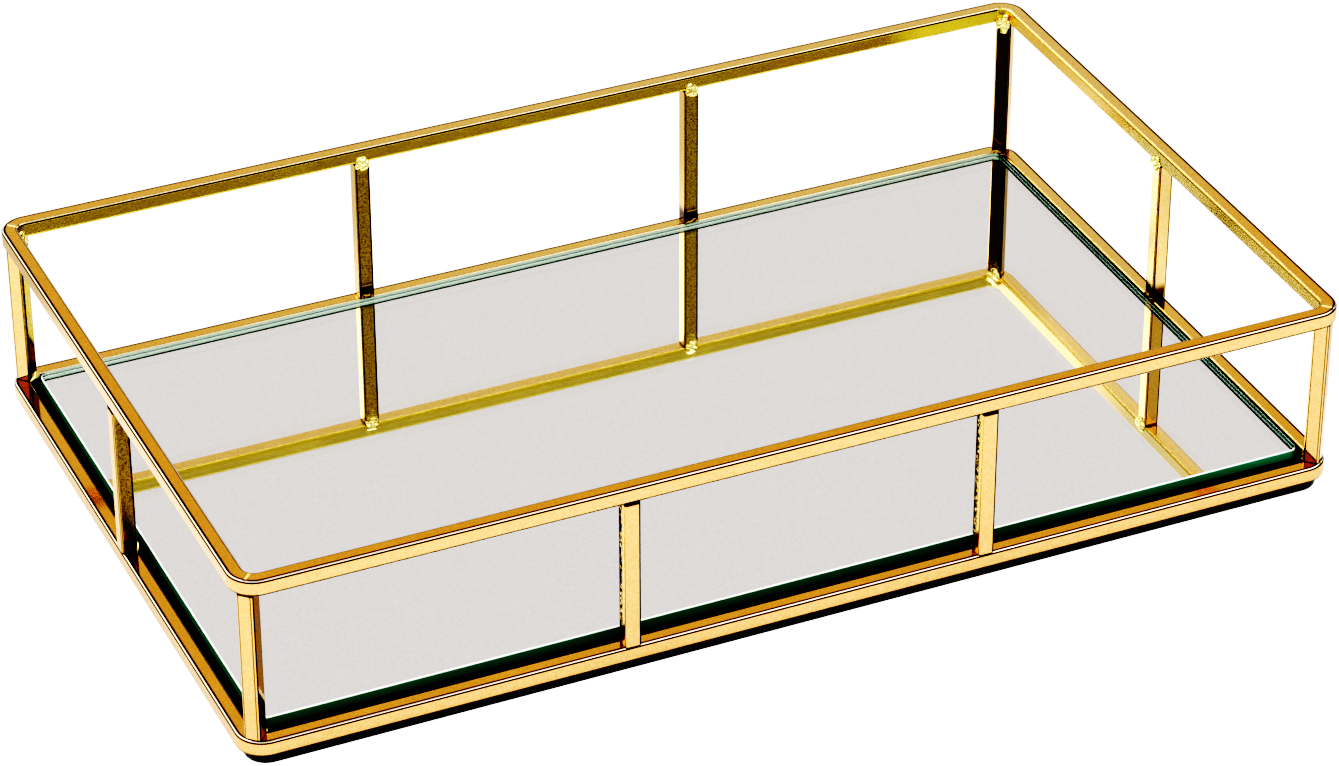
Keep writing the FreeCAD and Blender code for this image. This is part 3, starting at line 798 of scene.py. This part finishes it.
def weld_beads(ring, kind, posts, material):
    """The beads of one ring on its side posts or corner posts, as one piece."""
    if ring == "foot":
        half_height = FOOT_BEAD_HALF_HEIGHT
    elif kind == "corner":
        half_height = CORNER_BEAD_HALF_HEIGHT
    else:
        half_height = RIM_BEAD_HALF_HEIGHT
    mesh = bmesh.new()
    for number, name in enumerate(posts, start=FIRST_RIM_BEAD if ring == "rim" else 0):
        low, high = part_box(name)
        middle = (low + high) / 2
        inward = inward_direction(name, middle)
        height = high.z if ring == "rim" else low.z + FOOT_BEAD_LIFT
        centre = Vector((middle.x, middle.y, height)) + inward * BAR_SIZE / 2
        add_bead(mesh, centre, inward, half_height, number)
    add_piece(ring + "_" + kind + "_beads", mesh, material,
              ring + "_" + kind + "_weld_beads")


def rounded_outline(half_length, half_width, radius):
    """Points round a rounded rectangle, with the outward direction at each."""
    points = []
    corners = [(1, -1, -90), (1, 1, 0), (-1, 1, 90), (-1, -1, 180)]
    turns = max(FEWEST_CORNER_STEPS, round(math.pi / 2 * radius / OUTLINE_STEP))
    for index, (side_x, side_y, start) in enumerate(corners):
        centre = Vector((side_x * (half_length - radius), side_y * (half_width - radius), 0))
        for number in range(turns + 1):
            angle = math.radians(start + 90 * number / turns)
            outward = Vector((math.cos(angle), math.sin(angle), 0))
            points.append((centre + radius * outward, outward))
        after_x, after_y, _ = corners[(index + 1) % 4]
        after = Vector((after_x * (half_length - radius), after_y * (half_width - radius), 0))
        pieces = round((after - centre).length / OUTLINE_STEP)
        for number in range(1, pieces):
            points.append((centre + radius * outward + (after - centre) * number / pieces, outward))
    return points


def skin_rings(mesh, rings):
    """Join rings of vertices, from the lowest to the highest, and close both ends."""
    for lower, upper in zip(rings, rings[1:]):
        for index in range(len(lower)):
            after = (index + 1) % len(lower)
            mesh.faces.new((lower[index], lower[after], upper[after], upper[index]))
    mesh.faces.new(list(reversed(rings[0])))
    mesh.faces.new(rings[-1])


def base_pad(material):
    """The foam pad: a flat slab whose edge is crowned and pebbled."""
    low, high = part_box("base_pad")
    half_height = (high.z - low.z) / 2
    outline = rounded_outline(high.x, high.y, PAD_CORNER_RADIUS)
    mesh = bmesh.new()
    rings = []
    for level in range(PAD_PROFILE_STEPS + 1):
        angle = math.pi * (level / PAD_PROFILE_STEPS - 0.5)
        crown = half_height * PAD_CROWN * (1 - abs(math.cos(angle)) ** 0.5)
        ring = []
        for point, outward in outline:
            place = point - outward * (crown + PEBBLE_HEIGHT)
            place.z = low.z + half_height * (1 + math.sin(angle))
            pebble = noise.noise(place / PEBBLE_SIZE) * PEBBLE_HEIGHT * math.cos(angle)
            ring.append(mesh.verts.new(place + outward * pebble))
        rings.append(ring)
    skin_rings(mesh, rings)
    pad = add_piece("foam_base_pad", mesh, material, "base_pad")


def silver_layer(material):
    """The mirror layer, a hair below the glass so that the two faces don't coincide."""
    low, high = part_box("mirror_silvering")
    outline = rounded_outline(high.x, high.y, GLASS_CORNER_RADIUS)
    mesh = bmesh.new()
    top = [mesh.verts.new((point.x, point.y, high.z - SILVER_GAP)) for point, _ in outline]
    bottom = [mesh.verts.new((point.x, point.y, low.z)) for point, _ in outline]
    skin_rings(mesh, [bottom, top])
    add_piece("mirror_layer", mesh, material, "mirror_silvering", smooth=False)


# ---------------------------------------------------------------------- studio

# The camera, from the middle of the bottom frame's top face.
CAMERA_AZIMUTH = math.radians(-24.2)
CAMERA_ELEVATION = math.radians(32.57)
CAMERA_ROLL = math.radians(-0.075)
CAMERA_DISTANCE = 1.357
CAMERA_AIM_RIGHT = 0.0022
CAMERA_AIM_UP = 0.0092
CAMERA_LENS = 134.3
CAMERA_NEAREST = 0.01
SENSOR_WIDTH = 36.0

# The light from each part of the studio, as linear colours, and where each part starts and is
# complete, by a direction's X or Z or, in front, by how nearly it points towards the camera.
BACK_RIGHT_LIGHT = (0.545, 0.52, 0.505)
BACK_LEFT_LIGHT = (1.9, 1.95, 1.7)
LEFT_PART = (-0.08, -0.27)
RIGHT_LIGHT = (0.27, 0.265, 0.255)
RIGHT_PART = (0.52, 0.64)
FRONT_LIGHT = (0.38, 0.375, 0.365)
FRONT_PART = (0.1, 0.45)
TOWARDS_CAMERA = (-0.45, -0.89, 0.0)
HORIZON_LIGHT = (0.85, 0.85, 0.85)
HORIZON_PART = (0.25, 0.08)
OVERHEAD_LIGHT = (2.0, 2.0, 2.0)
OVERHEAD_PART = (0.60, 0.68)
ZENITH_LIGHT = (0.50, 0.50, 0.50)
ZENITH_PART = (0.925, 0.955)

FLOOR_SIZE = 24
FLOOR_GAP = 0.05 * MM

# The contrasty film: scene light on the left, picture light on the right.
FILM_CURVE = ((0.0, 0.0), (0.06, 0.003), (0.09, 0.014), (0.14, 0.10), (0.21, 0.27),
              (0.425, 0.638), (0.5, 0.723), (0.83, 0.957), (1.0, 1.0))
COMBINED_CURVE = 3


def studio_light():
    """A soft white room: brightest overhead and back left, and grey elsewhere and straight above."""
    world = bpy.data.worlds.new("studio")
    bpy.context.scene.world = world
    world.use_nodes = True
    nodes = Nodes(world.node_tree)
    direction = nodes.add("ShaderNodeTexCoord").outputs["Generated"]
    right, _, up = nodes.split(direction)
    front = nodes.add("ShaderNodeVectorMath", operation="DOT_PRODUCT")
    nodes.link(direction, front.inputs[0])
    front.inputs[1].default_value = TOWARDS_CAMERA
    colour = nodes.blend(nodes.remap(right, *LEFT_PART), BACK_RIGHT_LIGHT, BACK_LEFT_LIGHT)
    for value, part, light in ((right, RIGHT_PART, RIGHT_LIGHT),
                               (front.outputs["Value"], FRONT_PART, FRONT_LIGHT),
                               (up, HORIZON_PART, HORIZON_LIGHT),
                               (up, OVERHEAD_PART, OVERHEAD_LIGHT),
                               (up, ZENITH_PART, ZENITH_LIGHT)):
        colour = nodes.blend(nodes.remap(value, *part), colour, light)
    background = nodes.add("ShaderNodeBackground")
    nodes.link(colour, background.inputs["Color"])
    output = nodes.add("ShaderNodeOutputWorld")
    nodes.link(background.outputs[0], output.inputs["Surface"])


def studio_floor():
    """A plain floor under the tray, which isn't part of it."""
    bpy.ops.mesh.primitive_plane_add(size=FLOOR_SIZE, location=(0, 0, CAD_BOX[0].z - FLOOR_GAP))
    floor = bpy.context.object
    floor.name = "studio_floor"
    floor.data.materials.append(pale_floor())


def studio_camera():
    """The camera, a long lens from the front left and above."""
    back = Vector((math.sin(CAMERA_AZIMUTH) * math.cos(CAMERA_ELEVATION),
                   -math.cos(CAMERA_AZIMUTH) * math.cos(CAMERA_ELEVATION),
                   math.sin(CAMERA_ELEVATION)))
    right = Vector((0, 0, 1)).cross(back).normalized()
    up = back.cross(right)
    turned_right = math.cos(CAMERA_ROLL) * right + math.sin(CAMERA_ROLL) * up
    turned_up = back.cross(turned_right)
    frame_top = Vector((0, 0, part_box("bottom_front_rail")[1].z))
    data = bpy.data.cameras.new("camera")
    data.lens = CAMERA_LENS
    data.sensor_width = SENSOR_WIDTH
    data.clip_start = CAMERA_NEAREST
    camera = bpy.data.objects.new("camera", data)
    bpy.context.scene.collection.objects.link(camera)
    place = (frame_top + back * CAMERA_DISTANCE + turned_right * CAMERA_AIM_RIGHT
             + turned_up * CAMERA_AIM_UP)
    axes = Matrix((turned_right, turned_up, back)).transposed().to_4x4()
    camera.matrix_world = Matrix.Translation(place) @ axes
    bpy.context.scene.camera = camera


def picture_settings():
    """How scene light becomes a picture."""
    view = bpy.context.scene.view_settings
    view.view_transform = "Standard"
    view.look = "None"
    view.use_curve_mapping = True
    film = view.curve_mapping.curves[COMBINED_CURVE]
    film.points[0].location = FILM_CURVE[0]
    film.points[1].location = FILM_CURVE[-1]
    for place in FILM_CURVE[1:-1]:
        film.points.new(*place)
    for point in film.points:
        point.handle_type = "AUTO_CLAMPED"
    view.curve_mapping.update()


studio_camera()
studio_light()
studio_floor()
picture_settings()

dress(RAILS, rail_gold())
dress(SIDE_POSTS + CORNER_POSTS, post_gold())
dress(["mirror_glass"], clear_glass())
dress(["backing_board"], black_board())
dress(["mirror_tape"], foam_tape())
silver_layer(silvering())
base_pad(black_foam())
bead_plate = bead_gold()
for ring_name in ("foot", "rim"):
    weld_beads(ring_name, "side", SIDE_POSTS, bead_plate)
    weld_beads(ring_name, "corner", CORNER_POSTS, bead_plate)
